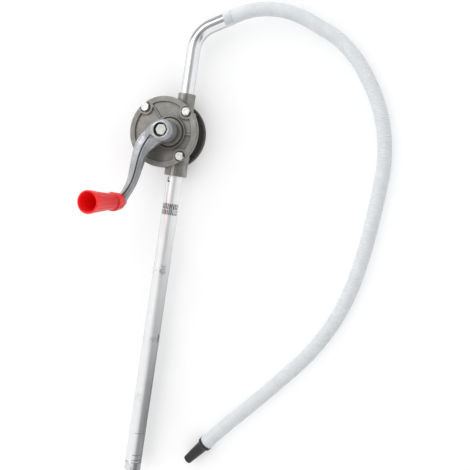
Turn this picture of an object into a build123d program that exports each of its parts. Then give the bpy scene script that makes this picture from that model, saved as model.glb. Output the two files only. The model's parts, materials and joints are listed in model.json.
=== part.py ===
from build123d import *
import math
import os

os.makedirs("parts", exist_ok=True)

# Rotary hand transfer pump, lying on the flat back of its pumping head.
# +Z runs along the drive shaft from the rear cover towards the crank,
# +Y along the suction tube towards the outlet, +X towards the ports' side.
# The origin is the centre of the rear cover's flat back face. Millimetres.

# ---------------------------------------------------------------- dimensions
# pumping head
BORE_R = 50.0            # pumping chamber, centred on the origin's axis
DRUM_R = 54.0            # outside of the chamber wall
FLANGE_R = 68.3          # front flange and front cover
REAR_R = 66.6            # rear cover
SHAFT_X = 14.5           # shaft axis, set over towards the ports
ROTOR_R = 35.2
SHAFT_R = 8.0

REAR_T = 10.4            # rear cover thickness
GASKET_T = 0.6
BODY_Z0 = REAR_T + GASKET_T
BODY_Z1 = 56.0           # front face of the body's flange
FLANGE_Z0 = 47.6
COVER_Z0 = BODY_Z1 + GASKET_T
FLOOR_Z = 60.4           # recessed face of the front cover
RIM_Z = 63.6             # raised rim of the front cover
RIM_IN_R = 58.0
PAD_R = 14.8
SPOT_R = 10.4
SPOT_Z = 61.0
BOLT_PCR = 60.0          # front cover bolt circle radius
BOLT_R = 5.0
REAR_PCR = 58.0          # rear cover screw circle radius
RUN = 0.05               # running clearance, radial

# ports
PORT_X = 27.0
PORT_Z = 33.0
SUCT_SOCK_R = 21.9
SUCT_SOCK_Y = -81.0
SUCT_SHOULDER_Y = -52.0
OUT_SOCK_R = 17.0
OUT_SOCK_Y = 79.6
OUT_SHOULDER_Y = 50.0
SEAL_T = 2.0

# suction tubes
TUBE_R = 16.0
TUBE_WALL = 1.5
SPIGOT_R = 15.7          # turned end of the tube, inside its socket
TUBE_END_Y = -652.0
INNER_R = 13.8
INNER_WALL = 1.2
INNER_TOP_Y = -104.0
FOOT_TOP_Y = -655.0
FOOT_END_Y = -671.0
FOOT_R = 16.2

# outlet pipe
PIPE_R = 13.0
PIPE_WALL = 1.5
BEND_Y = 165.0
BEND_R = 55.0
BEND_DEG = 63.0
PIPE_TAIL = 42.0         # straight length after the bend

# hose
HOSE_R = 13.5
HOSE_IN_R = 11.6
CUFF_R = 15.0
CUFF_L = 16.0
HOSE_ROUTE = [
    (96.3, 234.0, 33.0), (117.7, 244.9, 33.0), (148.4, 254.0, 30.6),
    (184.3, 256.5, 26.0), (223.7, 249.6, 20.0), (271.4, 228.9, 14.4),
    (307.8, 210.6, 13.6), (352.6, 168.0, 13.6), (397.9, 95.7, 13.6),
    (421.0, 12.2, 13.6), (417.7, -80.7, 13.6), (409.8, -174.4, 13.6),
    (391.6, -271.2, 13.6), (350.3, -360.5, 13.6), (296.0, -431.4, 13.6),
    (238.3, -501.3, 13.6), (197.0, -548.9, 14.6), (165.7, -589.3, 14.6),
]
NOZZLE_L = 54.0

# crank
HUB_Z0 = 79.6
HUB_Z1 = 105.0
HUB_R = 20.5
RECESS_Z = 99.0
HEX_RECESS_R = 12.4
ARM_Z0 = 84.0
ARM_Z1 = 98.0
CRANK_R = 159.8
CRANK_DEG = 245.18
HANDLE_TILT = 4.95       # how far the spindle leans
LEAN_DEG = 219.46        # and which way, in the plan of the cover
PIN_R = 5.0
GRIP_L = 108.0
GRIP_GAP = 1.0

# ------------------------------------------------------------- derived places
CX = SHAFT_X + CRANK_R * math.cos(math.radians(CRANK_DEG))
CY = CRANK_R * math.sin(math.radians(CRANK_DEG))
UX = math.cos(math.radians(CRANK_DEG))
UY = math.sin(math.radians(CRANK_DEG))
TS = math.sin(math.radians(HANDLE_TILT))
TC = math.cos(math.radians(HANDLE_TILT))
LX = math.cos(math.radians(LEAN_DEG))
LY = math.sin(math.radians(LEAN_DEG))
PIN_DIR = (LX * TS, LY * TS, TC)
PIN_SIDE = (-LY, LX, 0)


def pin_plane(along):
    """Plane square to the handle spindle, a distance along it from the arm's
    front face."""
    return Plane(
        origin=(CX + PIN_DIR[0] * along, CY + PIN_DIR[1] * along,
                ARM_Z1 + 2.0 + PIN_DIR[2] * along),
        x_dir=PIN_SIDE, z_dir=PIN_DIR)


BA = math.radians(BEND_DEG)
TAIL = (math.sin(BA), math.cos(BA), 0.0)
BEND_END = (PORT_X + BEND_R * (1 - math.cos(BA)), BEND_Y + BEND_R * math.sin(BA), PORT_Z)
PIPE_END = (BEND_END[0] + TAIL[0] * PIPE_TAIL, BEND_END[1] + TAIL[1] * PIPE_TAIL, PORT_Z)
HOSE_START = HOSE_ROUTE[0]


CUFF_END = 44.05         # distance from the bend to the cuff's outer face


def tail_plane(back):
    """Plane square to the outlet pipe's last straight, a distance before the
    cuff's outer face."""
    d = CUFF_END - back
    return Plane(
        origin=(BEND_END[0] + TAIL[0] * d, BEND_END[1] + TAIL[1] * d, PORT_Z),
        x_dir=(0, 0, 1), z_dir=TAIL)


PAD_SOCK_R = 22.8        # raised pad on the suction socket


def around_port(r, deg):
    """Point in a section across the ports' axis, deg from the front towards +X."""
    a = math.radians(deg)
    return (PORT_X + r * math.sin(a), PORT_Z + r * math.cos(a))


# ----------------------------------------------------------------- rear cover
with BuildPart() as rear_cover:
    with BuildSketch(Plane.XY):
        Circle(REAR_R)
    extrude(amount=REAR_T)
    chamfer(rear_cover.faces().sort_by(Axis.Z)[-1].edges(), 1.2)
    chamfer(rear_cover.faces().sort_by(Axis.Z)[0].edges(), 0.8)
    with BuildSketch(Plane.XY.offset(REAR_T)):
        with Locations((SHAFT_X, 0)):
            Circle(11.0)
    extrude(amount=-7.4, mode=Mode.SUBTRACT)
    # counterbored holes for the screws, from the back
    with BuildSketch(Plane.XY):
        with PolarLocations(REAR_PCR, 4, start_angle=45):
            Circle(5.2)
    extrude(amount=5.6, mode=Mode.SUBTRACT)
    with BuildSketch(Plane.XY):
        with PolarLocations(REAR_PCR, 4, start_angle=45):
            Circle(2.7)
    extrude(amount=REAR_T, mode=Mode.SUBTRACT)
rear_cover.part.label = "rear_cover"

# ---------------------------------------------------------------- rear gasket
with BuildPart() as rear_gasket:
    with BuildSketch(Plane.XY.offset(REAR_T)):
        Circle(DRUM_R)
        with PolarLocations(REAR_PCR, 4, start_angle=45):
            Circle(5.6)
        Circle(BORE_R, mode=Mode.SUBTRACT)
        with PolarLocations(REAR_PCR, 4, start_angle=45):
            Circle(2.7, mode=Mode.SUBTRACT)
    extrude(amount=GASKET_T)
rear_gasket.part.label = "rear_gasket"

# ------------------------------------------------------------------ pump body
with BuildPart() as pump_body:
    with BuildSketch(Plane.XY.offset(BODY_Z0)):
        Circle(DRUM_R)
    extrude(amount=BODY_Z1 - BODY_Z0)
    # screw bosses at the back
    with BuildSketch(Plane.XY.offset(BODY_Z0)):
        with PolarLocations(REAR_PCR, 4, start_angle=45):
            Circle(5.6)
    extrude(amount=15.0)
    # suction socket, with a raised pad and a bead along its front
    with BuildSketch(Plane.XZ.offset(36.0)):
        with Locations((PORT_X, PORT_Z)):
            Circle(SUCT_SOCK_R)
    extrude(amount=-SUCT_SOCK_Y - 36.0)
    with BuildSketch(Plane.XZ.offset(36.0)):
        with BuildLine():
            Polyline(*(around_port(PAD_SOCK_R, -49 + 3.2 * i) for i in range(15)),
                     *(around_port(20.0, -4.2 - 3.2 * i) for i in range(15)), close=True)
        make_face()
        with Locations(around_port(SUCT_SOCK_R - 0.4, 9.0)):
            Circle(1.3)
    extrude(amount=-SUCT_SOCK_Y - 36.0)
    # outlet socket
    with BuildSketch(Plane.XZ.offset(-OUT_SOCK_Y)):
        with Locations((PORT_X, PORT_Z)):
            Circle(OUT_SOCK_R)
    extrude(amount=OUT_SOCK_Y - 36.0)
    # front flange
    with BuildSketch(Plane.XY.offset(FLANGE_Z0)):
        Circle(FLANGE_R)
    extrude(amount=BODY_Z1 - FLANGE_Z0)
    # pumping chamber
    with BuildSketch(Plane.XY.offset(BODY_Z0)):
        Circle(BORE_R)
    extrude(amount=BODY_Z1 - BODY_Z0, mode=Mode.SUBTRACT)
    # suction port: tube socket, then the narrower way into the chamber
    with BuildSketch(Plane.XZ.offset(-SUCT_SOCK_Y)):
        with Locations((PORT_X, PORT_Z)):
            Circle(SPIGOT_R)
    extrude(amount=SUCT_SOCK_Y - SUCT_SHOULDER_Y, mode=Mode.SUBTRACT)
    with BuildSketch(Plane.XZ.offset(-SUCT_SHOULDER_Y + 1.0)):
        with Locations((PORT_X, PORT_Z)):
            Circle(13.0)
    extrude(amount=-22.0, mode=Mode.SUBTRACT)
    # outlet port
    with BuildSketch(Plane.XZ.offset(-OUT_SOCK_Y)):
        with Locations((PORT_X, PORT_Z)):
            Circle(PIPE_R)
    extrude(amount=OUT_SOCK_Y - OUT_SHOULDER_Y, mode=Mode.SUBTRACT)
    with BuildSketch(Plane.XZ.offset(-OUT_SHOULDER_Y - 1.0)):
        with Locations((PORT_X, PORT_Z)):
            Circle(10.6)
    extrude(amount=22.0, mode=Mode.SUBTRACT)
    # threaded holes for the front cover bolts
    with BuildSketch(Plane.XY.offset(FLANGE_Z0 - 2.6)):
        with PolarLocations(BOLT_PCR, 4, start_angle=45):
            Circle(BOLT_R)
    extrude(amount=BODY_Z1 - FLANGE_Z0 + 2.6, mode=Mode.SUBTRACT)
    # threaded holes for the rear cover screws
    with BuildSketch(Plane.XY.offset(BODY_Z0)):
        with PolarLocations(REAR_PCR, 4, start_angle=45):
            Circle(2.5)
    extrude(amount=11.0, mode=Mode.SUBTRACT)
    # threaded hole for the tube's locking screw
    with BuildSketch(Plane.YZ):
        with Locations((-70.0, PORT_Z)):
            Circle(3.0)
    extrude(amount=PORT_X - 8.0, mode=Mode.SUBTRACT)
pump_body.part.label = "pump_body"

# --------------------------------------------------------------- front gasket
with BuildPart() as front_gasket:
    with BuildSketch(Plane.XY.offset(BODY_Z1)):
        Circle(FLANGE_R)
        Circle(BORE_R, mode=Mode.SUBTRACT)
        with PolarLocations(BOLT_PCR, 4, start_angle=45):
            Circle(BOLT_R + 0.2, mode=Mode.SUBTRACT)
    extrude(amount=GASKET_T)
front_gasket.part.label = "front_gasket"

# ---------------------------------------------------------------- front cover
RIB_ANGLES = (0.0, 132.0, 228.0)
with BuildPart() as front_cover:
    with BuildSketch(Plane.XY.offset(COVER_Z0)):
        Circle(FLANGE_R)
    extrude(amount=FLOOR_Z - COVER_Z0)
    # raised rim with a lobe around each bolt
    with BuildSketch(Plane.XY.offset(FLOOR_Z)):
        Circle(FLANGE_R)
        Circle(RIM_IN_R, mode=Mode.SUBTRACT)
        with PolarLocations(BOLT_PCR, 4, start_angle=45):
            Circle(PAD_R)
        with BuildSketch(mode=Mode.INTERSECT):
            Circle(FLANGE_R)
    extrude(amount=RIM_Z - FLOOR_Z)
    # ribs that run out from the shaft boss
    with BuildSketch(Plane.XY.offset(FLOOR_Z)):
        for a in RIB_ANGLES:
            with Locations(Location((SHAFT_X, 0, 0), (0, 0, a))):
                with Locations((43.0, 0)):
                    Rectangle(46.0, 2.6)
        with BuildSketch(mode=Mode.INTERSECT):
            Circle(RIM_IN_R + 1.0)
    extrude(amount=2.6)
    # stepped shaft boss and stuffing box neck
    with BuildSketch(Plane.XY.offset(FLOOR_Z)):
        with Locations((SHAFT_X, 0)):
            Circle(31.7)
    extrude(amount=65.0 - FLOOR_Z)
    with BuildSketch(Plane.XY.offset(65.0)):
        with Locations((SHAFT_X, 0)):
            Circle(26.4)
    extrude(amount=3.6, taper=8)
    with BuildSketch(Plane.XY.offset(68.6)):
        with Locations((SHAFT_X, 0)):
            Circle(17.0)
    extrude(amount=7.4, taper=2)
    with BuildSketch(Plane.XY.offset(65.0)):
        with Locations((SHAFT_X, 0)):
            Circle(29.4)
            Circle(27.0, mode=Mode.SUBTRACT)
    extrude(amount=-2.4, mode=Mode.SUBTRACT)
    # shaft bush bore, then the wider seal pocket
    with BuildSketch(Plane.XY.offset(COVER_Z0)):
        with Locations((SHAFT_X, 0)):
            Circle(11.5)
    extrude(amount=13.4, mode=Mode.SUBTRACT)
    with BuildSketch(Plane.XY.offset(COVER_Z0 + 13.4)):
        with Locations((SHAFT_X, 0)):
            Circle(13.0)
    extrude(amount=6.0, mode=Mode.SUBTRACT)
    # spot faces and bolt holes
    with BuildSketch(Plane.XY.offset(SPOT_Z)):
        with PolarLocations(BOLT_PCR, 4, start_angle=45):
            Circle(SPOT_R)
    extrude(amount=RIM_Z - SPOT_Z + 1.0, mode=Mode.SUBTRACT)
    with BuildSketch(Plane.XY.offset(COVER_Z0)):
        with PolarLocations(BOLT_PCR, 4, start_angle=45):
            Circle(BOLT_R + 0.2)
    extrude(amount=8.0, mode=Mode.SUBTRACT)
front_cover.part.label = "front_cover"

# ---------------------------------------------------------------- cover bolts
with BuildPart() as cover_bolts:
    with BuildSketch(Plane.XY.offset(SPOT_Z)):
        with PolarLocations(BOLT_PCR, 4, start_angle=45):
            Circle(7.2)
    extrude(amount=0.6)
    with BuildSketch(Plane.XY.offset(SPOT_Z + 0.6)):
        with PolarLocations(BOLT_PCR, 4, start_angle=45):
            RegularPolygon(7.5, 6, major_radius=False, rotation=12)
    extrude(amount=6.4)
    chamfer(cover_bolts.faces().group_by(Axis.Z)[-1].edges(), 0.7)
    with BuildSketch(Plane.XY.offset(FLANGE_Z0 - 1.6)):
        with PolarLocations(BOLT_PCR, 4, start_angle=45):
            Circle(BOLT_R)
    extrude(amount=SPOT_Z - FLANGE_Z0 + 1.6)
cover_bolts.part.label = "cover_bolts"

# ---------------------------------------------------------- rear cover screws
with BuildPart() as rear_cover_screws:
    with BuildSketch(Plane.XY.offset(0.6)):
        with PolarLocations(REAR_PCR, 4, start_angle=45):
            Circle(4.4)
    extrude(amount=5.0)
    with BuildSketch(Plane.XY.offset(0.6)):
        with PolarLocations(REAR_PCR, 4, start_angle=45):
            RegularPolygon(2.0, 6, major_radius=False)
    extrude(amount=2.6, mode=Mode.SUBTRACT)
    with BuildSketch(Plane.XY.offset(5.6)):
        with PolarLocations(REAR_PCR, 4, start_angle=45):
            Circle(2.5)
    extrude(amount=15.0)
rear_cover_screws.part.label = "rear_cover_screws"

# --------------------------------------------------------- bushes, seal, ring
with BuildPart() as rear_bush:
    with BuildSketch(Plane.XY.offset(REAR_T - 7.4)):
        with Locations((SHAFT_X, 0)):
            Circle(11.0)
            Circle(SHAFT_R + RUN, mode=Mode.SUBTRACT)
    extrude(amount=7.4)
rear_bush.part.label = "rear_bush"

with BuildPart() as front_bush:
    with BuildSketch(Plane.XY.offset(COVER_Z0)):
        with Locations((SHAFT_X, 0)):
            Circle(11.5)
            Circle(SHAFT_R + RUN, mode=Mode.SUBTRACT)
    extrude(amount=13.4)
front_bush.part.label = "front_bush"

with BuildPart() as shaft_seal:
    with BuildSketch(Plane.XY.offset(COVER_Z0 + 13.4)):
        with Locations((SHAFT_X, 0)):
            Circle(13.0)
            Circle(SHAFT_R + RUN, mode=Mode.SUBTRACT)
    extrude(amount=4.0)
shaft_seal.part.label = "shaft_seal"

with BuildPart() as seal_retainer:
    with BuildSketch(Plane.XY.offset(COVER_Z0 + 17.4)):
        with Locations((SHAFT_X, 0)):
            Circle(13.0)
            Circle(SHAFT_R + 0.1, mode=Mode.SUBTRACT)
    extrude(amount=2.4)
seal_retainer.part.label = "seal_retainer"

# ---------------------------------------------------------------- drive shaft
with BuildPart() as drive_shaft:
    with BuildSketch(Plane.XY.offset(4.0)):
        with Locations((SHAFT_X, 0)):
            Circle(SHAFT_R)
    extrude(amount=RECESS_Z - 0.4 - 4.0)
    chamfer(drive_shaft.faces().sort_by(Axis.Z)[0].edges(), 0.8)
    # tapped hole for the crank bolt
    with BuildSketch(Plane.XY.offset(RECESS_Z - 0.4)):
        with Locations((SHAFT_X, 0)):
            Circle(4.0)
    extrude(amount=-20.0, mode=Mode.SUBTRACT)
    # keyway for the rotor key
    with BuildSketch(Plane.XY.offset(20.0)):
        with Locations((SHAFT_X + SHAFT_R - 1.25, 0)):
            Rectangle(2.5, 5.0)
    extrude(amount=28.0, mode=Mode.SUBTRACT)
drive_shaft.part.label = "drive_shaft"

with BuildPart() as rotor_key:
    with BuildSketch(Plane.XY.offset(20.0)):
        with Locations((SHAFT_X + SHAFT_R, 0)):
            Rectangle(5.0, 5.0)
    extrude(amount=28.0)
    with BuildSketch(Plane.XY.offset(20.0)):
        with Locations((SHAFT_X, 0)):
            Circle(SHAFT_R - 2.5)
    extrude(amount=28.0, mode=Mode.SUBTRACT)
rotor_key.part.label = "rotor_key"

# --------------------------------------------------------------- rotor, vanes
ROTOR_Z0 = REAR_T + 0.1
ROTOR_Z1 = COVER_Z0 - 0.1
VANE_T = 5.0
VANE_IN_R = 17.0
SLOT_IN_R = 13.6
with BuildPart() as rotor:
    with BuildSketch(Plane.XY.offset(ROTOR_Z0)):
        with Locations((SHAFT_X, 0)):
            Circle(ROTOR_R)
            Circle(SHAFT_R, mode=Mode.SUBTRACT)
        with Locations((SHAFT_X + SHAFT_R, 0)):
            Rectangle(5.0, 5.0, mode=Mode.SUBTRACT)
        for a in (45, 135, 225, 315):
            with Locations(Location((SHAFT_X, 0, 0), (0, 0, a))):
                with Locations(((SLOT_IN_R + ROTOR_R + 2.0) / 2, 0)):
                    Rectangle(ROTOR_R + 2.0 - SLOT_IN_R, VANE_T, mode=Mode.SUBTRACT)
    extrude(amount=ROTOR_Z1 - ROTOR_Z0)
rotor.part.label = "rotor"

with BuildPart() as rotor_vanes:
    with BuildSketch(Plane.XY.offset(ROTOR_Z0)):
        for a in (45, 135, 225, 315):
            with Locations(Location((SHAFT_X, 0, 0), (0, 0, a))):
                with Locations(((VANE_IN_R + ROTOR_R) / 2 - 0.2, 0)):
                    Rectangle(ROTOR_R - VANE_IN_R - 0.4, VANE_T)
    extrude(amount=ROTOR_Z1 - ROTOR_Z0)
rotor_vanes.part.label = "rotor_vanes"

# bent strip springs, one behind each vane
with BuildPart() as vane_springs:
    for a in (45, 135, 225, 315):
        ca, sa = math.cos(math.radians(a)), math.sin(math.radians(a))
        with BuildSketch(Plane(origin=(SHAFT_X, 0, 0), x_dir=(ca, sa, 0), z_dir=(sa, -ca, 0))):
            with BuildLine():
                Polyline((13.8, 16.0), (16.9, 33.5), (13.8, 51.0), (14.5, 51.0),
                         (17.0, 36.6), (17.0, 30.4), (14.5, 16.0), close=True)
            make_face()
        extrude(amount=1.6, both=True)
vane_springs.part.label = "vane_springs"

# ------------------------------------------------------------------ crank arm
# Outline of the swept arm, from the hub out to the spindle boss.
ARM_LEFT = [(3.0, 18.5), (-18.5, -2.1), (-34.6, -24.0), (-41.0, -52.2), (-42.4, -80.0),
            (-44.8, -106.0), (-52.3, -125.5), (-62.0, -140.5)]
ARM_RIGHT = [(-46.6, -153.0), (-39.8, -134.5), (-30.4, -114.5), (-23.9, -93.1),
             (-18.8, -69.0), (-13.6, -49.5), (-3.6, -36.5), (22.0, -15.0)]
ARM_GROOVE = [(-6.8, -12.2), (-19.9, -34.3), (-25.6, -56.0), (-28.8, -82.0),
              (-33.5, -105.5), (-42.6, -125.0), (-47.6, -132.0)]


def beside(points, d):
    """Points set off sideways from a line of points, d to its left."""
    out = []
    for i, (x, y) in enumerate(points):
        x0, y0 = points[max(i - 1, 0)]
        x1, y1 = points[min(i + 1, len(points) - 1)]
        n = math.hypot(x1 - x0, y1 - y0)
        out.append((x - (y1 - y0) / n * d, y + (x1 - x0) / n * d))
    return out


with BuildPart() as crank_arm:
    # hub
    with BuildSketch(Plane.XY.offset(HUB_Z0)):
        with Locations((SHAFT_X, 0)):
            Circle(HUB_R + 1.4)
    extrude(amount=HUB_Z1 - HUB_Z0, taper=3)
    # arm
    with BuildSketch(Plane.XY.offset(ARM_Z0)):
        with BuildLine():
            left = Spline(*ARM_LEFT)
            right = Spline(*ARM_RIGHT)
            Line(left @ 1, right @ 0)
            Line(right @ 1, left @ 0)
        make_face()
    extrude(amount=ARM_Z1 - ARM_Z0)
    # spindle boss, square to the leaning spindle
    with BuildSketch(pin_plane(-1.0)):
        Circle(11.0)
    extrude(amount=-16.0, taper=8)
    # lengthwise groove in the arm's front face
    with BuildSketch(Plane.XY.offset(ARM_Z1)):
        with BuildLine():
            g1 = Spline(*beside(ARM_GROOVE, 1.5))
            g2 = Spline(*reversed(beside(ARM_GROOVE, -1.5)))
            Line(g1 @ 1, g2 @ 0)
            Line(g2 @ 1, g1 @ 0)
        make_face()
    extrude(amount=-2.6, mode=Mode.SUBTRACT)
    # shaft bore and the hexagonal recess for the bolt
    with BuildSketch(Plane.XY.offset(HUB_Z0)):
        with Locations((SHAFT_X, 0)):
            Circle(SHAFT_R)
    extrude(amount=HUB_Z1 - HUB_Z0, mode=Mode.SUBTRACT)
    with BuildSketch(Plane.XY.offset(RECESS_Z)):
        with Locations((SHAFT_X, 0)):
            RegularPolygon(HEX_RECESS_R, 6, rotation=4)
    extrude(amount=HUB_Z1 - RECESS_Z, mode=Mode.SUBTRACT)
    # spindle hole
    with BuildSketch(pin_plane(-1.0)):
        Circle(PIN_R)
    extrude(amount=-17.0, mode=Mode.SUBTRACT)
crank_arm.part.label = "crank_arm"

with BuildPart() as crank_washer:
    with BuildSketch(Plane.XY.offset(RECESS_Z)):
        with Locations((SHAFT_X, 0)):
            Circle(10.2)
            Circle(4.2, mode=Mode.SUBTRACT)
    extrude(amount=1.4)
crank_washer.part.label = "crank_washer"

with BuildPart() as crank_bolt:
    with BuildSketch(Plane.XY.offset(RECESS_Z + 1.4)):
        with Locations((SHAFT_X, 0)):
            RegularPolygon(9.5, 6, major_radius=False, rotation=4)
    extrude(amount=6.2)
    chamfer(crank_bolt.faces().sort_by(Axis.Z)[-1].edges(), 0.9)
    with BuildSketch(Plane.XY.offset(RECESS_Z + 1.4)):
        with Locations((SHAFT_X, 0)):
            Circle(4.0)
    extrude(amount=-18.0)
crank_bolt.part.label = "crank_bolt"

# -------------------------------------------------------------------- handle
with BuildPart() as handle_spindle:
    # riveted end below the arm
    with BuildSketch(pin_plane(-18.4)):
        Circle(6.6)
    extrude(amount=1.4)
    with BuildSketch(pin_plane(-17.0)):
        Circle(PIN_R)
    extrude(amount=58.0)
handle_spindle.part.label = "handle_spindle"

with BuildPart() as spindle_washer:
    with BuildSketch(pin_plane(34.4)):
        Circle(8.6)
        Circle(PIN_R, mode=Mode.SUBTRACT)
    extrude(amount=1.2)
spindle_washer.part.label = "spindle_washer"

with BuildPart() as spindle_nut:
    with BuildSketch(pin_plane(35.6)):
        RegularPolygon(6.5, 6, major_radius=False)
        Circle(PIN_R, mode=Mode.SUBTRACT)
    extrude(amount=5.0)
spindle_nut.part.label = "spindle_nut"

GRIP_OUT = [(0.0, 14.4), (1.4, 15.8), (6.0, 16.9), (14.0, 18.0), (22.8, 18.6),
            (24.6, 17.6), (25.4, 14.9), (27.2, 14.9), (28.4, 15.8), (50.0, 16.8), (80.0, 19.0),
            (100.0, 20.9), (106.4, 21.3), (108.0, 20.5)]
GRIP_IN = [(108.0, 18.0), (104.0, 17.3), (60.0, 14.2), (34.0, 12.4), (34.0, 5.06), (0.0, 5.06)]
with BuildPart() as handle_grip:
    g = pin_plane(GRIP_GAP - 1.0)
    with BuildSketch(Plane(origin=g.origin, x_dir=g.z_dir, z_dir=g.x_dir)):
        with BuildLine():
            Polyline(*(GRIP_OUT + GRIP_IN), close=True)
        make_face()
    revolve(axis=Axis(g.origin, g.z_dir))
handle_grip.part.label = "handle_grip"

# ---------------------------------------------------------------- outlet side
with BuildPart() as outlet_seal:
    with BuildSketch(Plane.XZ.offset(-OUT_SHOULDER_Y - SEAL_T)):
        with Locations((PORT_X, PORT_Z)):
            Circle(PIPE_R)
            Circle(10.6, mode=Mode.SUBTRACT)
    extrude(amount=SEAL_T)
outlet_seal.part.label = "outlet_seal"

with BuildPart() as outlet_pipe:
    with BuildLine() as pipe_path:
        a = Line((PORT_X, OUT_SHOULDER_Y + SEAL_T, PORT_Z), (PORT_X, BEND_Y, PORT_Z))
        b = TangentArc((PORT_X, BEND_Y, PORT_Z), BEND_END, tangent=(0, 1, 0))
        Line(BEND_END, PIPE_END)
    with BuildSketch(Plane(origin=(PORT_X, OUT_SHOULDER_Y + SEAL_T, PORT_Z),
                           x_dir=(1, 0, 0), z_dir=(0, 1, 0))):
        Circle(PIPE_R)
        Circle(PIPE_R - PIPE_WALL, mode=Mode.SUBTRACT)
    sweep(path=pipe_path.line)
outlet_pipe.part.label = "outlet_pipe"

# --------------------------------------------------------------- suction side
with BuildPart() as suction_seal:
    with BuildSketch(Plane.XZ.offset(-SUCT_SHOULDER_Y)):
        with Locations((PORT_X, PORT_Z)):
            Circle(SPIGOT_R)
            Circle(13.0, mode=Mode.SUBTRACT)
    extrude(amount=SEAL_T)
suction_seal.part.label = "suction_seal"

with BuildPart() as suction_tube:
    with BuildSketch(Plane.XZ.offset(-SUCT_SHOULDER_Y + SEAL_T)):
        with Locations((PORT_X, PORT_Z)):
            Circle(TUBE_R)
            Circle(TUBE_R - TUBE_WALL, mode=Mode.SUBTRACT)
    extrude(amount=-TUBE_END_Y + SUCT_SHOULDER_Y - SEAL_T)
    # end turned down to fit the socket
    with BuildSketch(Plane.XZ.offset(-SUCT_SHOULDER_Y)):
        with Locations((PORT_X, PORT_Z)):
            Circle(TUBE_R + 1.0)
            Circle(SPIGOT_R, mode=Mode.SUBTRACT)
    extrude(amount=SUCT_SHOULDER_Y - SUCT_SOCK_Y, mode=Mode.SUBTRACT)
    # two rolled grooves near the lower end hold the sliding tube's seal
    for y in (-637.6, -647.6):
        with BuildSketch(Plane.XZ.offset(-y)):
            with Locations((PORT_X, PORT_Z)):
                Circle(TUBE_R + 1.0)
                Circle(TUBE_R - 0.5, mode=Mode.SUBTRACT)
        extrude(amount=1.6, mode=Mode.SUBTRACT)
    # hole for the locking screw's point
    with BuildSketch(Plane.YZ.offset(PORT_X - TUBE_R - 1.0)):
        with Locations((-70.0, PORT_Z)):
            Circle(2.5)
    extrude(amount=6.0, mode=Mode.SUBTRACT)
    # L-shaped air slot just below the socket
    SLOT_A = math.radians(31.0)
    slot_plane = Plane(
        origin=(PORT_X - math.sin(SLOT_A) * 10.0, 0, PORT_Z + math.cos(SLOT_A) * 10.0),
        x_dir=(0, 1, 0), z_dir=(-math.sin(SLOT_A), 0, math.cos(SLOT_A)))
    with BuildSketch(slot_plane):
        with Locations((-88.6, 0)):
            Rectangle(10.0, 2.6)
        with Locations((-92.4, -2.2)):
            Rectangle(2.4, 6.2)
    extrude(amount=8.0, mode=Mode.SUBTRACT)
suction_tube.part.label = "suction_tube"

with BuildPart() as tube_locking_screw:
    with BuildSketch(Plane.YZ.offset(PORT_X - TUBE_R + 1.2)):
        with Locations((-70.0, PORT_Z)):
            Circle(2.3)
    extrude(amount=-1.2)
    with BuildSketch(Plane.YZ.offset(PORT_X - TUBE_R)):
        with Locations((-70.0, PORT_Z)):
            Circle(3.0)
    extrude(amount=-5.4)
    with BuildSketch(Plane.YZ.offset(PORT_X - TUBE_R - 5.4)):
        with Locations((-70.0, PORT_Z)):
            Rectangle(1.0, 6.2)
    extrude(amount=1.4, mode=Mode.SUBTRACT)
tube_locking_screw.part.label = "tube_locking_screw"

with BuildPart() as tube_seal_ring:
    with BuildSketch(Plane.XZ.offset(-TUBE_END_Y - 14.0)):
        with Locations((PORT_X, PORT_Z)):
            Circle(TUBE_R - TUBE_WALL)
            Circle(INNER_R + RUN, mode=Mode.SUBTRACT)
    extrude(amount=10.0)
tube_seal_ring.part.label = "tube_seal_ring"

with BuildPart() as telescopic_tube:
    with BuildSketch(Plane.XZ.offset(-INNER_TOP_Y)):
        with Locations((PORT_X, PORT_Z)):
            Circle(INNER_R)
            Circle(INNER_R - INNER_WALL, mode=Mode.SUBTRACT)
    extrude(amount=INNER_TOP_Y - FOOT_END_Y - 2.0)
telescopic_tube.part.label = "telescopic_tube"

with BuildPart() as tube_guide_ring:
    with BuildSketch(Plane.XZ.offset(-INNER_TOP_Y)):
        with Locations((PORT_X, PORT_Z)):
            Circle(TUBE_R - TUBE_WALL - RUN)
            Circle(INNER_R, mode=Mode.SUBTRACT)
    extrude(amount=12.0)
tube_guide_ring.part.label = "tube_guide_ring"

# foot with four intake notches
with BuildPart() as suction_foot:
    with BuildSketch(Plane.XZ.offset(-FOOT_TOP_Y)):
        with Locations((PORT_X, PORT_Z)):
            Circle(FOOT_R)
            Circle(INNER_R, mode=Mode.SUBTRACT)
    extrude(amount=FOOT_TOP_Y - FOOT_END_Y)
    with BuildSketch(Plane.XZ.offset(-FOOT_END_Y - 2.0)):
        with Locations((PORT_X, PORT_Z)):
            Circle(INNER_R)
            Circle(INNER_R - INNER_WALL - 0.6, mode=Mode.SUBTRACT)
    extrude(amount=2.0)
    for a in (70, 160, 250, 340):
        ca, sa = math.cos(math.radians(a)), math.sin(math.radians(a))
        with BuildSketch(Plane(origin=(PORT_X + ca * (INNER_R + 0.05), FOOT_END_Y,
                                       PORT_Z + sa * (INNER_R + 0.05)),
                               x_dir=(0, 1, 0), z_dir=(ca, 0, sa))):
            with Locations((7.2, 0)):
                Rectangle(7.6, 8.0)
        extrude(amount=6.0, mode=Mode.SUBTRACT)
suction_foot.part.label = "suction_foot"

# ------------------------------------------------------------ hose and nozzle
with BuildPart() as hose_cuff:
    with BuildSketch(tail_plane(CUFF_L)):
        Circle(CUFF_R)
        Circle(PIPE_R, mode=Mode.SUBTRACT)
    extrude(amount=CUFF_L - 2.0)
    with BuildSketch(tail_plane(2.0)):
        Circle(CUFF_R)
        Circle(HOSE_IN_R, mode=Mode.SUBTRACT)
    extrude(amount=2.0)
hose_cuff.part.label = "hose_cuff"


def unit(p, q):
    v = [q[i] - p[i] for i in range(3)]
    n = math.sqrt(sum(c * c for c in v))
    return [c / n for c in v], n


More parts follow.
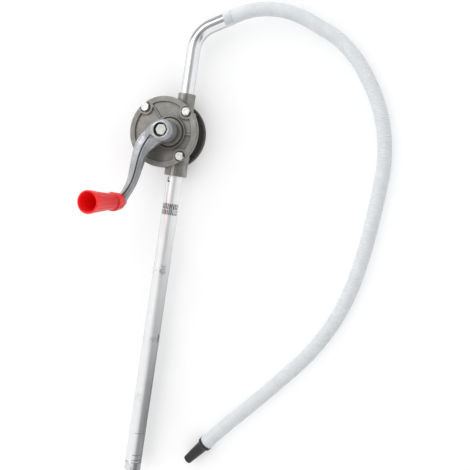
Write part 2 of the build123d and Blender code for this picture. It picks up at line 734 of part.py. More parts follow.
HOSE_RADII = []
for i in range(1, len(HOSE_ROUTE) - 1):
    u, nu = unit(HOSE_ROUTE[i - 1], HOSE_ROUTE[i])
    v, nv = unit(HOSE_ROUTE[i], HOSE_ROUTE[i + 1])
    turn = math.acos(max(-1.0, min(1.0, sum(u[k] * v[k] for k in range(3)))))
    HOSE_RADII.append(0.45 * min(nu, nv) / math.tan(turn / 2))
print("hose radii, mm:", [round(r) for r in HOSE_RADII])

START_DIR, _ = unit(HOSE_ROUTE[0], HOSE_ROUTE[1])
with BuildPart() as hose:
    with BuildLine() as hose_path:
        FilletPolyline(*HOSE_ROUTE, radius=HOSE_RADII)
    with BuildSketch(Plane(origin=HOSE_START, x_dir=(0, 0, 1), z_dir=tuple(START_DIR))):
        Circle(HOSE_R)
        Circle(HOSE_IN_R, mode=Mode.SUBTRACT)
    sweep(path=hose_path.line)
hose.part.label = "hose"
HOSE_LEN = hose_path.wires()[0].length
print("hose length, mm:", round(HOSE_LEN, 1),
      "volume ratio:", round(hose.part.volume /
                             (math.pi * (HOSE_R ** 2 - HOSE_IN_R ** 2) * HOSE_LEN), 4))

END_DIR, _ = unit(HOSE_ROUTE[-2], HOSE_ROUTE[-1])
with BuildPart() as nozzle:
    with BuildSketch(Plane(origin=HOSE_ROUTE[-1], x_dir=tuple(END_DIR), z_dir=(0, 0, 1))):
        with BuildLine():
            Polyline((-16.0, 8.2), (-16.0, 10.4), (-15.0, 11.2), (0.0, 11.2), (0.0, 14.3),
                     (1.0, 14.5), (5.0, 14.5), (9.0, 11.2), (NOZZLE_L - 1.0, 8.6),
                     (NOZZLE_L, 8.0), (NOZZLE_L, 6.0), (9.0, 8.2), close=True)
        make_face()
    revolve(axis=Axis(HOSE_ROUTE[-1], tuple(END_DIR)))
nozzle.part.label = "nozzle"

# --------------------------------------------------------------------- export
for item in (rear_cover, rear_gasket, pump_body, front_gasket, front_cover, cover_bolts,
             rear_cover_screws, rear_bush, front_bush, shaft_seal, seal_retainer,
             drive_shaft, rotor_key, rotor, rotor_vanes, vane_springs, crank_arm,
             crank_washer, crank_bolt, handle_spindle, spindle_washer, spindle_nut,
             handle_grip, outlet_seal, outlet_pipe, suction_seal, suction_tube,
             tube_locking_screw, tube_seal_ring, telescopic_tube, tube_guide_ring,
             suction_foot, hose_cuff, hose, nozzle):
    export_step(item.part, "parts/" + item.part.label + ".step")
print("crank spindle at", round(CX, 3), round(CY, 3), "direction",
      [round(c, 5) for c in PIN_DIR])
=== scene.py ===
import math
import bpy
from mathutils import Matrix, Vector
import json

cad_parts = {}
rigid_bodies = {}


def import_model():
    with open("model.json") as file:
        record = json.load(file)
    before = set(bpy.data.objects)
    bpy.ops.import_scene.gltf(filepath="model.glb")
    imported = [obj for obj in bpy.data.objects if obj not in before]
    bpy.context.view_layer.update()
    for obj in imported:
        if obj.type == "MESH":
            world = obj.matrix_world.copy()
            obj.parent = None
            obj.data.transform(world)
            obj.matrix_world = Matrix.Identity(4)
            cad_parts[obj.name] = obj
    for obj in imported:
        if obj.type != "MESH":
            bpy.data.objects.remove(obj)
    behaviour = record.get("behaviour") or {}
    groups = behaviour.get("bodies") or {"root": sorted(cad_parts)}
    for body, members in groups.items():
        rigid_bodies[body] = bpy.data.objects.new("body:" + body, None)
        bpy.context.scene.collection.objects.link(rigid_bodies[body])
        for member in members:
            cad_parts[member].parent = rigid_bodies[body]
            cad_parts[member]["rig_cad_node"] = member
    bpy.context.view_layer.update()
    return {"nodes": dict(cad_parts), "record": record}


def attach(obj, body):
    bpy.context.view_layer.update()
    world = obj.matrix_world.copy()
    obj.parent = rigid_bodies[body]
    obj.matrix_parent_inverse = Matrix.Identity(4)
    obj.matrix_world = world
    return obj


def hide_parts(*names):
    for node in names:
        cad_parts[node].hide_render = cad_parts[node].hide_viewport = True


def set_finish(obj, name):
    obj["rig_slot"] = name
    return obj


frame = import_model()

NODES = frame["nodes"]

# ---------------------------------------------------------------- dimensions
PORT = (0.027, 0.033)             # x and z of the two ports' axis
SHAFT = Vector((0.0145, 0.0, 0.0))
A = math.radians(245.18)
LEAN = math.radians(219.46)
TILT = math.radians(4.95)
PIN_DIR = Vector((math.cos(LEAN) * math.sin(TILT), math.sin(LEAN) * math.sin(TILT), math.cos(TILT)))
PIN_AT = Vector((0.0145 + 0.1598 * math.cos(A), 0.1598 * math.sin(A), 0.1))
BEND = math.radians(63.0)
TAIL = Vector((math.sin(BEND), math.cos(BEND), 0.0))
BEND_END = Vector((0.027 + 0.055 * (1 - math.cos(BEND)), 0.165 + 0.055 * math.sin(BEND), 0.033))

# -------------------------------------------------------------------- camera
cam_data = bpy.data.cameras.new("Camera")
cam = bpy.data.objects.new("Camera", cam_data)
bpy.context.scene.collection.objects.link(cam)
right = Vector((0.9455684, 0.1506589, -0.2884481))
up = Vector((-0.1604319, 0.9869921, -0.0104012))
back = Vector((0.2831289, 0.0561113, 0.9574390))
cam.matrix_world = Matrix((
    (right.x, up.x, back.x, 0.5424695),
    (right.y, up.y, back.y, -0.0991633),
    (right.z, up.z, back.z, 1.3076430),
    (0, 0, 0, 1)))
cam_data.sensor_fit = "HORIZONTAL"
cam_data.sensor_width = 36.0
cam_data.lens = 53.45
cam_data.shift_y = -0.0012
cam_data.clip_start = 0.02
cam_data.clip_end = 50
bpy.context.scene.camera = cam


# ------------------------------------------------------------- mesh helpers
def link(name, verts, faces, smooth=True, angle=None):
    me = bpy.data.meshes.new(name)
    me.from_pydata([tuple(v) for v in verts], [], faces)
    me.validate()
    ob = bpy.data.objects.new(name, me)
    bpy.context.scene.collection.objects.link(ob)
    if smooth:
        me.polygons.foreach_set("use_smooth", [True] * len(me.polygons))
        if angle is not None:
            me.set_sharp_from_angle(angle=math.radians(angle))
    return ob


def basis(direction, hint=(0, 0, 1)):
    d = Vector(direction).normalized()
    h = Vector(hint)
    if abs(d.dot(h)) > 0.95:
        h = Vector((0, 1, 0))
    u = h.cross(d).normalized()
    return d, u, d.cross(u)


def lathe(name, profile, origin, direction, segs=96, radius=None, angle=35, hint=(0, 0, 1)):
    """Closed ring of revolution. profile is (along, r) pairs in metres, taken
    round the section; radius(r, along, theta, index) may shape it."""
    d, u, v = basis(direction, hint)
    o = Vector(origin)
    verts, faces = [], []
    n = len(profile)
    for i in range(segs):
        th = 2 * math.pi * i / segs
        e = u * math.cos(th) + v * math.sin(th)
        for j, (s, r) in enumerate(profile):
            rr = radius(r, s, th, j) if radius else r
            verts.append(o + d * s + e * rr)
    for i in range(segs):
        k = (i + 1) % segs
        for j in range(n):
            m = (j + 1) % n
            faces.append((i * n + j, i * n + m, k * n + m, k * n + j))
    return link(name, verts, faces, angle=angle)


def smooth_profile(points, step=0.0012):
    """Points along straight runs of a section, close enough for shaping."""
    out = []
    for i in range(len(points)):
        a, b = points[i], points[(i + 1) % len(points)]
        n = max(1, int(math.hypot(b[0] - a[0], b[1] - a[1]) / step))
        for k in range(n):
            t = k / n
            out.append((a[0] + (b[0] - a[0]) * t, a[1] + (b[1] - a[1]) * t))
    return out


def frames_along(points):
    """Tangent, side and rise at each point of a line, with no twist."""
    n = len(points)
    tans = []
    for i in range(n):
        a, b = points[max(i - 1, 0)], points[min(i + 1, n - 1)]
        tans.append((b - a).normalized())
    side = Vector((0, 0, 1)).cross(tans[0]).normalized()
    out = []
    for i in range(n):
        t = tans[i]
        side = (side - t * side.dot(t)).normalized()
        out.append((t, side, t.cross(side)))
    return out


def tube(name, points, outer, inner, segs=48, angle=60):
    """Hollow tube along points; outer and inner are radii at each point."""
    fr = frames_along(points)
    verts, faces = [], []
    n = len(points)
    for layer in (outer, inner):
        for i, p in enumerate(points):
            t, a, b = fr[i]
            for k in range(segs):
                th = 2 * math.pi * k / segs
                verts.append(p + (a * math.cos(th) + b * math.sin(th)) * layer[i])
    m = n * segs
    for i in range(n - 1):
        for k in range(segs):
            q = (k + 1) % segs
            faces.append((i * segs + k, i * segs + q, (i + 1) * segs + q, (i + 1) * segs + k))
            faces.append((m + i * segs + q, m + i * segs + k, m + (i + 1) * segs + k,
                          m + (i + 1) * segs + q))
    for k in range(segs):
        q = (k + 1) % segs
        faces.append((k, m + k, m + q, q))
        e = (n - 1) * segs
        faces.append((e + q, m + e + q, m + e + k, e + k))
    return link(name, verts, faces, angle=angle)


def resample(points, step):
    """Points a fixed distance apart along a dense line, ends included."""
    dist = [0.0]
    for a, b in zip(points, points[1:]):
        dist.append(dist[-1] + (b - a).length)
    total = dist[-1]
    n = max(2, round(total / step))
    out, j = [], 0
    for i in range(n + 1):
        s = total * i / n
        while j < len(points) - 2 and dist[j + 1] < s:
            j += 1
        span = dist[j + 1] - dist[j]
        f = 0 if span == 0 else (s - dist[j]) / span
        out.append(points[j].lerp(points[j + 1], min(max(f, 0), 1)))
    return out, total


def cast_copy(node, name, voxel, rounds, smooth=0.5):
    """A casting's soft edges: the node's shape, remeshed and eased."""
    src = NODES[node]
    ob = bpy.data.objects.new(name, src.data.copy())
    bpy.context.scene.collection.objects.link(ob)
    ob.data.materials.clear()
    r = ob.modifiers.new("r", "REMESH")
    r.mode = "VOXEL"
    r.voxel_size = voxel
    r.adaptivity = 0.0
    s = ob.modifiers.new("s", "SMOOTH")
    s.factor = smooth
    s.iterations = rounds
    dg = bpy.context.evaluated_depsgraph_get()
    me = bpy.data.meshes.new_from_object(ob.evaluated_get(dg))
    ob.modifiers.clear()
    ob.data = me
    me.polygons.foreach_set("use_smooth", [True] * len(me.polygons))
    return ob


# ---------------------------------------------------------------------- hose
ROUTE = [(0.0963, 0.2340, 0.0330), (0.1177, 0.2449, 0.0330), (0.1484, 0.2540, 0.0306),
         (0.1843, 0.2565, 0.0260), (0.2237, 0.2496, 0.0200), (0.2714, 0.2289, 0.0144),
         (0.3078, 0.2106, 0.0136), (0.3526, 0.1680, 0.0136), (0.3979, 0.0957, 0.0136),
         (0.4210, 0.0122, 0.0136), (0.4177, -0.0807, 0.0136), (0.4098, -0.1744, 0.0136),
         (0.3916, -0.2712, 0.0136), (0.3503, -0.3605, 0.0136), (0.2960, -0.4314, 0.0136),
         (0.2383, -0.5013, 0.0136), (0.1970, -0.5489, 0.0146), (0.1657, -0.5893, 0.0146)]
cu = bpy.data.curves.new("hose_line", "CURVE")
cu.dimensions = "3D"
sp = cu.splines.new("NURBS")
sp.points.add(len(ROUTE) - 1)
for pt, co in zip(sp.points, ROUTE):
    pt.co = (*co, 1.0)
sp.order_u = 3
sp.use_endpoint_u = True
sp.resolution_u = 48
line_ob = bpy.data.objects.new("hose_line", cu)
bpy.context.scene.collection.objects.link(line_ob)
bpy.context.view_layer.update()
line_me = bpy.data.meshes.new_from_object(
    line_ob.evaluated_get(bpy.context.evaluated_depsgraph_get()))
line = [v.co.copy() for v in line_me.vertices]
bpy.data.objects.remove(line_ob)
bpy.data.meshes.remove(line_me)

PITCH = 0.0043
hose_pts, hose_len = resample(line, PITCH / 8)
outer, inner = [], []
step = hose_len / (len(hose_pts) - 1)
PLAIN = 0.030
for i in range(len(hose_pts)):
    s = i * step
    into = min(max((s - PLAIN) / 0.006, 0.0), 1.0)
    end = min(max((hose_len - s - 0.004) / 0.004, 0.0), 1.0)
    w = (0.5 - 0.5 * math.cos(2 * math.pi * (s - PLAIN) / PITCH))
    crest = w ** 0.8
    r = 0.01345 - 0.00062 * (1 - crest) * into * end - 0.0001 * into
    if s < PLAIN:
        r = 0.01345 - 0.00012 * math.sin(math.pi * s / PLAIN)
    outer.append(r)
    inner.append(r - 0.0014)
hose = tube("hose_ribbed", hose_pts, outer, inner, segs=44, angle=80)
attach(hose, "pump")
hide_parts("hose")
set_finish(hose, "hose_clear")

# nozzle: fluted black spout in the hose's free end
END = Vector(ROUTE[-1])
END_DIR = (Vector(ROUTE[-1]) - Vector(ROUTE[-2])).normalized()
noz = [(-0.0160, 0.0082), (-0.0160, 0.0104), (-0.0150, 0.0112), (-0.0002, 0.0112),
       (-0.0002, 0.0141), (0.0004, 0.0144), (0.0044, 0.01448), (0.0056, 0.0142),
       (0.0078, 0.0124), (0.0098, 0.0114), (0.0130, 0.0110), (0.0500, 0.0088),
       (0.0528, 0.0086), (0.0539, 0.0080), (0.0540, 0.0068), (0.0534, 0.0060),
       (0.0090, 0.0082)]


def nozzle_shape(r, s, th, j):
    if 0.012 < s < 0.0515 and r > 0.0084:
        fade = min((s - 0.012) / 0.004, (0.0515 - s) / 0.002, 1.0)
        return r - 0.00042 * fade * (0.5 - 0.5 * math.cos(18 * th))
    if 0.0 < s < 0.0050 and r > 0.0138:
        return r - 0.00030 * (0.5 - 0.5 * math.cos(36 * th))
    return r


nozzle = lathe("nozzle_fluted", smooth_profile(noz), END, END_DIR, segs=216,
               radius=nozzle_shape, angle=40)
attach(nozzle, "pump")
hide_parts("nozzle")
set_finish(nozzle, "nozzle_black")

# cuff: clear moulded sleeve over the outlet pipe's end
cuff_at = BEND_END + TAIL * 0.04405
cuff_prof = [(-0.0160, 0.01303), (-0.0160, 0.0138), (-0.0157, 0.0141), (-0.0150, 0.0142),
             (-0.0012, 0.0142), (-0.0004, 0.0141), (0.0, 0.0138),
             (0.0, 0.0117), (-0.0019, 0.0117), (-0.00195, 0.01303)]
cuff = lathe("hose_end_sleeve", smooth_profile(cuff_prof, 0.0006), cuff_at, TAIL, segs=96)
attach(cuff, "pump")
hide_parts("hose_cuff")
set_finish(cuff, "hose_clear")

# ---------------------------------------------------------------- outlet pipe
pipe_line = [Vector((PORT[0], 0.052 + 0.113 * i / 24, PORT[1])) for i in range(25)]
for i in range(1, 65):
    a = BEND * i / 64
    pipe_line.append(Vector((0.027 + 0.055 * (1 - math.cos(a)), 0.165 + 0.055 * math.sin(a), PORT[1])))
for i in range(1, 13):
    pipe_line.append(BEND_END + TAIL * (0.042 * i / 12))
pipe_out = [0.013] * len(pipe_line)
pipe_in = [0.0115] * len(pipe_line)
pipe_out[-1] = 0.0127
pipe = tube("outlet_pipe_plated", pipe_line, pipe_out, pipe_in, segs=96)
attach(pipe, "pump")
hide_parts("outlet_pipe")
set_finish(pipe, "chromed_pipe")

# ---------------------------------------------------------------------- grip
GRIP_AT = PIN_AT
grip_out = [(0.0, 0.0137), (0.0006, 0.0146), (0.0018, 0.0157), (0.006, 0.0168),
            (0.014, 0.0179), (0.0205, 0.0185), (0.0228, 0.0186), (0.0243, 0.0180),
            (0.0250, 0.0166), (0.0254, 0.0151), (0.0262, 0.0147), (0.0273, 0.0150),
            (0.0284, 0.0158), (0.050, 0.0168), (0.080, 0.0190), (0.092, 0.0203),
            (0.0965, 0.02055), (0.0985, 0.0206), (0.1005, 0.0209), (0.1055, 0.02125),
            (0.1072, 0.0210), (0.1079, 0.0203), (0.1080, 0.0196), (0.1078, 0.0186),
            (0.1070, 0.0180)]
grip_in = [(0.104, 0.0173), (0.060, 0.0142), (0.0355, 0.0125), (0.0342, 0.0118),
           (0.034, 0.0110), (0.034, 0.00506), (0.0, 0.00506)]


def grip_shape(r, s, th, j):
    if r < 0.0145 + max(0.0, s - 0.050) * 0.071 and s > 0.040:
        k = min((s - 0.040) / 0.004, max((0.106 - s) / 0.003, 0.0), 1.0)
        return r - 0.0006 * k * max(0.0, math.cos(8 * th)) ** 6   # ribs inside
    if r > 0.0142 and 0.0030 < s < 0.0242:      # faceted collar
        n = 10
        a = (th % (2 * math.pi / n)) - math.pi / n
        f = math.cos(math.pi / n) / math.cos(a)
        k = min((s - 0.0030) / 0.003, (0.0242 - s) / 0.0015, 1.0)
        return r * (1 - k * (1 - f) * 1.15)
    if r > 0.0150 and 0.029 < s < 0.097:                      # long flutes
        k = min((s - 0.029) / 0.004, (0.097 - s) / 0.003, 1.0)
        w = abs(math.sin(7 * th)) ** 0.8
        return r - 0.00085 * k * (1 - w)
    return r


grip = lathe("grip_moulded", smooth_profile(grip_out + grip_in, 0.0014), GRIP_AT, PIN_DIR,
             segs=280, radius=grip_shape, angle=32)
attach(grip, "handle")
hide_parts("handle_grip")
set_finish(grip, "grip_red")


# ------------------------------------------------------------- hexagon bolts
def hex_bolt(name, x, y, z_seat, af, head, flange_r, flange_t, shank_r, z_low, turn, mark=True):
    """Forged head with a round chamfer, a washer face or flange, and a shank."""
    segs = 72
    rings = []                                        # (z, radius function)

    def hexr(th):
        a = (th - turn) % (math.pi / 3) - math.pi / 6
        return (af / 2) / math.cos(a)

    top = z_seat + flange_t + head
    rc = af / 2 * 0.93
    rings.append((lambda th: z_low, lambda th: shank_r * 0.8))
    rings.append((lambda th: z_low + 0.0006, lambda th: shank_r))
    rings.append((lambda th: z_seat - 0.0001, lambda th: shank_r))
    if flange_r:
        rings.append((lambda th: z_seat - 0.00005, lambda th: flange_r - 0.0003))
        rings.append((lambda th: z_seat + 0.0003, lambda th: flange_r))
        rings.append((lambda th: z_seat + flange_t * 0.7, lambda th: flange_r))
        rings.append((lambda th: z_seat + flange_t, lambda th: flange_r - 0.0006))
        rings.append((lambda th: z_seat + flange_t + 0.0001, lambda th: hexr(th) + 0.0003))
        rings.append((lambda th: z_seat + flange_t + 0.0004, lambda th: hexr(th)))
    else:
        rings.append((lambda th: z_seat + 0.00002, lambda th: af / 2 * 0.95))
        rings.append((lambda th: z_seat + 0.0004, lambda th: af / 2 * 0.95))
        rings.append((lambda th: z_seat + 0.0005, lambda th: hexr(th) - 0.0002))
        rings.append((lambda th: z_seat + 0.0007, lambda th: hexr(th)))
    drop = math.tan(math.radians(28))
    rings.append((lambda th: top - 0.00025 - (hexr(th) - rc) * drop, lambda th: hexr(th)))
    rings.append((lambda th: top - (hexr(th) - 0.0003 - rc) * drop, lambda th: hexr(th) - 0.0003))
    rings.append((lambda th: top, lambda th: rc))
    rings.append((lambda th: top, lambda th: rc * 0.90))
    if mark:                                          # forged dish in the head
        rings.append((lambda th: top, lambda th: rc * 0.62))
        rings.append((lambda th: top - 0.00035, lambda th: rc * 0.55))
        rings.append((lambda th: top - 0.00040, lambda th: rc * 0.30))
    verts, faces = [], []
    for z, r in rings:
        for i in range(segs):
            th = 2 * math.pi * i / segs
            verts.append((x + r(th) * math.cos(th), y + r(th) * math.sin(th), z(th)))
    for a in range(len(rings) - 1):
        for i in range(segs):
            k = (i + 1) % segs
            faces.append((a * segs + i, a * segs + k, (a + 1) * segs + k, (a + 1) * segs + i))
    faces.append(tuple(reversed(range(segs))))
    last = (len(rings) - 1) * segs
    faces.append(tuple(last + i for i in range(segs)))
    return link(name, verts, faces, angle=25)


bolts = []
for i in range(4):
    a = math.radians(45 + 90 * i)
    b = hex_bolt(f"cover_bolt_{i + 1}", 0.060 * math.cos(a), 0.060 * math.sin(a), 0.0610,
                 0.015, 0.0070, 0, 0, 0.00495, 0.046,
                 math.radians((12, 38, 5, 51)[i]))
    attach(b, "pump")
    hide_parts("cover_bolts")
    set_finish(b, "zinc_fastener")
    bolts.append(b)
hub_bolt = hex_bolt("hub_bolt", SHAFT.x, 0.0, 0.1004, 0.019, 0.0062, 0, 0, 0.00395, 0.0824,
                    math.radians(4))
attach(hub_bolt, "crank")
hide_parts("crank_bolt")
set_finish(hub_bolt, "zinc_fastener")

# ------------------------------------------------------------------ castings
cover = cast_copy("front_cover", "cover_casting", 0.00056, 4)
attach(cover, "pump")
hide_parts("front_cover")
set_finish(cover, "cast_aluminium")
body = cast_copy("pump_body", "body_casting", 0.00065, 4)
for v in body.data.vertices:
    # the raised pad's edge, and the bead beside it, along the suction socket
    dx, dz = v.co.x - PORT[0], v.co.z - PORT[1]
    r = math.hypot(dx, dz)
    if v.co.y > -0.050 or r < 0.0195 or r > 0.0262:
        continue
    a = math.degrees(math.atan2(dx, dz))
    grow = 0.0013 * math.exp(-((a - 6.0) / 2.7) ** 2) - 0.0011 * math.exp(-((a + 6.5) / 2.6) ** 2)
    grow -= 0.0007 * math.exp(-((a - 15.0) / 4.0) ** 2)
    grow *= min(max((r - 0.0195) / 0.0012, 0.0), 1.0) * min(max((-0.050 - v.co.y) / 0.004, 0.0), 1.0)
    v.co.x += dx / r * grow
    v.co.z += dz / r * grow
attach(body, "pump")
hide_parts("pump_body")
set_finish(body, "cast_aluminium")
rear = cast_copy("rear_cover", "rear_casting", 0.0007, 2)
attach(rear, "pump")
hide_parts("rear_cover")
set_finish(rear, "black_paint")
arm = cast_copy("crank_arm", "crank_casting", 0.00055, 10)
GROOVE = [Vector(p) for p in ((-0.0068, -0.0122), (-0.0133, -0.0230), (-0.0199, -0.0343),
          (-0.0231, -0.0450), (-0.0256, -0.0560), (-0.0275, -0.0690), (-0.0288, -0.0820),
          (-0.0307, -0.0938), (-0.0335, -0.1055), (-0.0376, -0.1155), (-0.0426, -0.1250),
          (-0.0476, -0.1320))]
for v in arm.data.vertices:
    # the arm's face falls away to the right of its groove, and is crowned on the left
    p = Vector((v.co.x, v.co.y))
    if v.co.z < 0.0845 or v.co.z > 0.0985:
        continue
    best, side = 1.0, 0.0
    for q0, q1 in zip(GROOVE, GROOVE[1:]):
        e = q1 - q0
        f = min(max((p - q0).dot(e) / e.length_squared, 0.0), 1.0)
        w = p - (q0 + e * f)
        if w.length < best:
            best = w.length
            side = e.x * w.y - e.y * w.x
    keep = min(max(((p - Vector((SHAFT.x, 0))).length - 0.0225) / 0.014, 0.0), 1.0)
    keep *= min(max(((p - Vector((PIN_AT.x, PIN_AT.y))).length - 0.0115) / 0.006, 0.0), 1.0)
    up_part = (v.co.z - 0.084) / 0.014
    if side > 0:
        drop = 0.0052 * min(max((best - 0.0022) / 0.0105, 0.0), 1.0) ** 1.2
    else:
        drop = 0.0016 * min(best / 0.013, 1.0) ** 2
    v.co.z -= drop * keep * up_part
for v in arm.data.vertices:
    # the hub's front edge is well rounded, except where the arm runs into it
    d = Vector((v.co.x, v.co.y)) - Vector((SHAFT.x, 0))
    r = d.length
    if r < 0.0150 or r > 0.0245 or v.co.z < 0.0905:
        continue
    off = abs((math.degrees(math.atan2(d.y, d.x)) - 208 + 180) % 360 - 180)
    away = min(max((off - 48) / 34, 0.0), 1.0)
    v.co.z -= (0.0046 * away * min((r - 0.0150) / 0.0058, 1.15) ** 2
               * min((v.co.z - 0.0905) / 0.0135, 1.0))
for v in arm.data.vertices:
    # the bolt's recess is cast wide towards the arm
    off = (Vector((v.co.x, v.co.y)) - Vector((SHAFT.x - 0.0022, -0.0004))).length
    if off < 0.0134 and v.co.z > 0.1006:
        v.co.z -= (v.co.z - 0.1006) * min(max((0.0134 - off) / 0.0006, 0.0), 1.0)
for v in arm.data.vertices:
    # the arm's upper side swells up into the hub
    d = Vector((v.co.x, v.co.y)) - Vector((SHAFT.x, 0))
    r = d.length
    if r < 0.0200 or r > 0.040 or v.co.z < 0.0915:
        continue
    a = math.degrees(math.atan2(d.y, d.x)) % 360
    w = min(max((a - 146) / 14, 0.0), 1.0) * min(max((219 - a) / 7, 0.0), 1.0)
    k = min(max((r - 0.0212) / 0.0188, 0.0), 1.0)
    top = 0.0980 + 0.0068 * (1 - k) ** 1.7
    up = w * (top - 0.0980) * min((v.co.z - 0.0915) / 0.0055, 1.0)
    v.co.z = max(v.co.z, min(v.co.z + up, 0.0980 + w * (top - 0.0980)))
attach(arm, "crank")
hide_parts("crank_arm")
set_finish(arm, "crank_paint")


# ----------------------------------------------------------------- materials
class Mat:
    """A node material with short helpers."""

    def __init__(self, name):
        self.m = bpy.data.materials.new(name)
        self.m.use_nodes = True
        self.t = self.m.node_tree
        self.bsdf = self.t.nodes["Principled BSDF"]
        self.co = self.t.nodes.new("ShaderNodeTexCoord")

    def new(self, kind, **props):
        n = self.t.nodes.new(kind)
        for k, v in props.items():
            setattr(n, k, v)
        return n

    def link(self, a, b):
        self.t.links.new(a, b)

    def set(self, **kw):
        for k, v in kw.items():
            self.bsdf.inputs[k.replace("_", " ")].default_value = v

    def mapped(self, scale=(1, 1, 1), loc=(0, 0, 0)):
        mp = self.new("ShaderNodeMapping")
        mp.inputs["Scale"].default_value = scale
        mp.inputs["Location"].default_value = loc
        self.link(self.co.outputs["Object"], mp.inputs["Vector"])
        return mp.outputs["Vector"]

    def noise(self, scale, detail=3.0, rough=0.5, vec=None):
        n = self.new("ShaderNodeTexNoise")
        n.inputs["Scale"].default_value = scale
        n.inputs["Detail"].default_value = detail
        n.inputs["Roughness"].default_value = rough
        self.link(vec or self.co.outputs["Object"], n.inputs["Vector"])
        return n.outputs["Fac"]

    def ramp(self, fac, stops):
        r = self.new("ShaderNodeValToRGB")
        e = r.color_ramp.elements
        while len(e) < len(stops):
            e.new(0.5)
        for i, (p, c) in enumerate(stops):
            e[i].position = p
            e[i].color = (*c, 1) if len(c) == 3 else c
        self.link(fac, r.inputs["Fac"])
        return r.outputs["Color"]

    def mix(self, fac, a, b, blend="MIX"):
        n = self.new("ShaderNodeMix", data_type="RGBA", blend_type=blend)
        for s, v in ((n.inputs[0], fac), (n.inputs[6], a), (n.inputs[7], b)):
            if isinstance(v, (int, float)):
                s.default_value = v
            elif isinstance(v, tuple):
                s.default_value = (*v, 1) if len(v) == 3 else v
            else:
                self.link(v, s)
        return n.outputs[2]

    def math(self, op, a, b=None, clamp=False):
        n = self.new("ShaderNodeMath", operation=op, use_clamp=clamp)
        for s, v in ((n.inputs[0], a), (n.inputs[1], b)):
            if v is None:
                continue
            if isinstance(v, (int, float)):
                s.default_value = v
            else:
                self.link(v, s)
        return n.outputs[0]

    def range(self, v, a, b, lo=0.0, hi=1.0):
        n = self.new("ShaderNodeMapRange")
        n.inputs["From Min"].default_value = a
        n.inputs["From Max"].default_value = b
        n.inputs["To Min"].default_value = lo
        n.inputs["To Max"].default_value = hi
        self.link(v, n.inputs["Value"])
        return n.outputs["Result"]

    def bump(self, height, dist, strength=1.0, normal=None):
        n = self.new("ShaderNodeBump")
        n.inputs["Distance"].default_value = dist
        n.inputs["Strength"].default_value = strength
        self.link(height, n.inputs["Height"])
        if normal is not None:
            self.link(normal, n.inputs["Normal"])
        self.link(n.outputs["Normal"], self.bsdf.inputs["Normal"])
        return n.outputs["Normal"]

    def color(self, c):
        self.link(c, self.bsdf.inputs["Base Color"])

    def rough(self, r):
        self.link(r, self.bsdf.inputs["Roughness"])

    def xyz(self):
        s = self.new("ShaderNodeSeparateXYZ")
        self.link(self.co.outputs["Object"], s.inputs["Vector"])
        return s.outputs

    def edges(self, lo=0.50, hi=0.56):
        g = self.new("ShaderNodeNewGeometry")
        return self.range(g.outputs["Pointiness"], lo, hi)


def cast_metal(name, dark, mid, light, metallic, rough_lo, rough_hi, grain, depth, wear,
               grime_and_shade=0.55, reach=0.007):
    m = Mat(name)
    m.set(Metallic=metallic)
    m.bsdf.inputs["Specular IOR Level"].default_value = 0.5
    fine = m.noise(grain, 4, 0.65)
    broad = m.noise(60, 3, 0.55)
    c = m.ramp(m.math("ADD", m.math("MULTIPLY", fine, 0.6), m.math("MULTIPLY", broad, 0.4)),
               [(0.36, dark), (0.52, mid), (0.66, light)])
    c = m.mix(m.math("MULTIPLY", m.edges(0.505, 0.56), wear), c, light)
    # painted shade: hollows found by pointiness are darkened towards a deep tone of the metal
    g = m.new("ShaderNodeNewGeometry")
    hollow_shade = m.range(g.outputs["Pointiness"], 0.495, 0.43)
    c = m.mix(m.math("MULTIPLY", hollow_shade, 0.7), c, tuple(v * 0.3 for v in dark))
    # painted shade, with grime: crevices found by ambient occlusion within reach are darkened
    ao = m.new("ShaderNodeAmbientOcclusion", samples=8, only_local=True)
    ao.inputs["Distance"].default_value = reach
    corner_shade = m.range(ao.outputs["AO"], 0.96, 0.45)
    c = m.mix(m.math("MULTIPLY", corner_shade, grime_and_shade), c, tuple(v * 0.25 for v in dark))
    rough = m.range(m.noise(grain * 0.4, 3, 0.6), 0.3, 0.7, rough_lo, rough_hi)
    height = m.math("ADD", m.math("MULTIPLY", fine, 0.7),
                    m.math("MULTIPLY", m.noise(grain * 0.25, 2), 0.3))
    m.rough(rough)
    m.bump(height, depth, 0.6)
    return m, c


m, c = cast_metal("cast aluminium", (0.165, 0.159, 0.147), (0.222, 0.214, 0.199),
                  (0.33, 0.319, 0.300), 0.45, 0.40, 0.55, 700, 0.00022, 0.6, grime_and_shade=0.75)
# a painted shadow of the crank arm in the bottom of the cover's lower pocket
o = m.xyz()
qx = m.math("ADD", o["X"], 0.010)
qy = m.math("ADD", o["Y"], 0.044)
arm_shadow = m.math("SQRT", m.math("ADD", m.math("MULTIPLY", qx, qx), m.math("MULTIPLY", qy, qy)))
arm_shadow = m.math("MULTIPLY", m.range(arm_shadow, 0.024, 0.008), m.range(o["Z"], 0.0618, 0.0610))
c = m.mix(m.math("MULTIPLY", arm_shadow, 0.60), c, (0.060, 0.056, 0.050))
m.color(c)
M_CAST = m.m
m, c = cast_metal("cast body", (0.195, 0.188, 0.175), (0.270, 0.261, 0.245),
                  (0.42, 0.408, 0.386), 0.65, 0.34, 0.46, 700, 0.00018, 0.7, grime_and_shade=0.7)
# behind its flange the chamber drum is painted charcoal, up to the two sockets
o = m.xyz()
rad = m.math("SQRT", m.math("ADD", m.math("MULTIPLY", o["X"], o["X"]), m.math("MULTIPLY", o["Y"], o["Y"])))
px = m.math("SUBTRACT", o["X"], PORT[0])
pz = m.math("SUBTRACT", o["Z"], PORT[1])
port_r = m.math("SQRT", m.math("ADD", m.math("MULTIPLY", px, px), m.math("MULTIPLY", pz, pz)))
on_port = m.math("MULTIPLY", m.math("LESS_THAN", port_r, 0.0234),
                 m.math("GREATER_THAN", m.math("ABSOLUTE", o["Y"]), 0.0362))
drum = m.math("MULTIPLY", m.math("LESS_THAN", o["Z"], 0.0470), m.math("LESS_THAN", rad, 0.0672))
drum = m.math("MULTIPLY", drum, m.math("SUBTRACT", 1.0, on_port))
turn = m.math("ARCTAN2", px, pz)


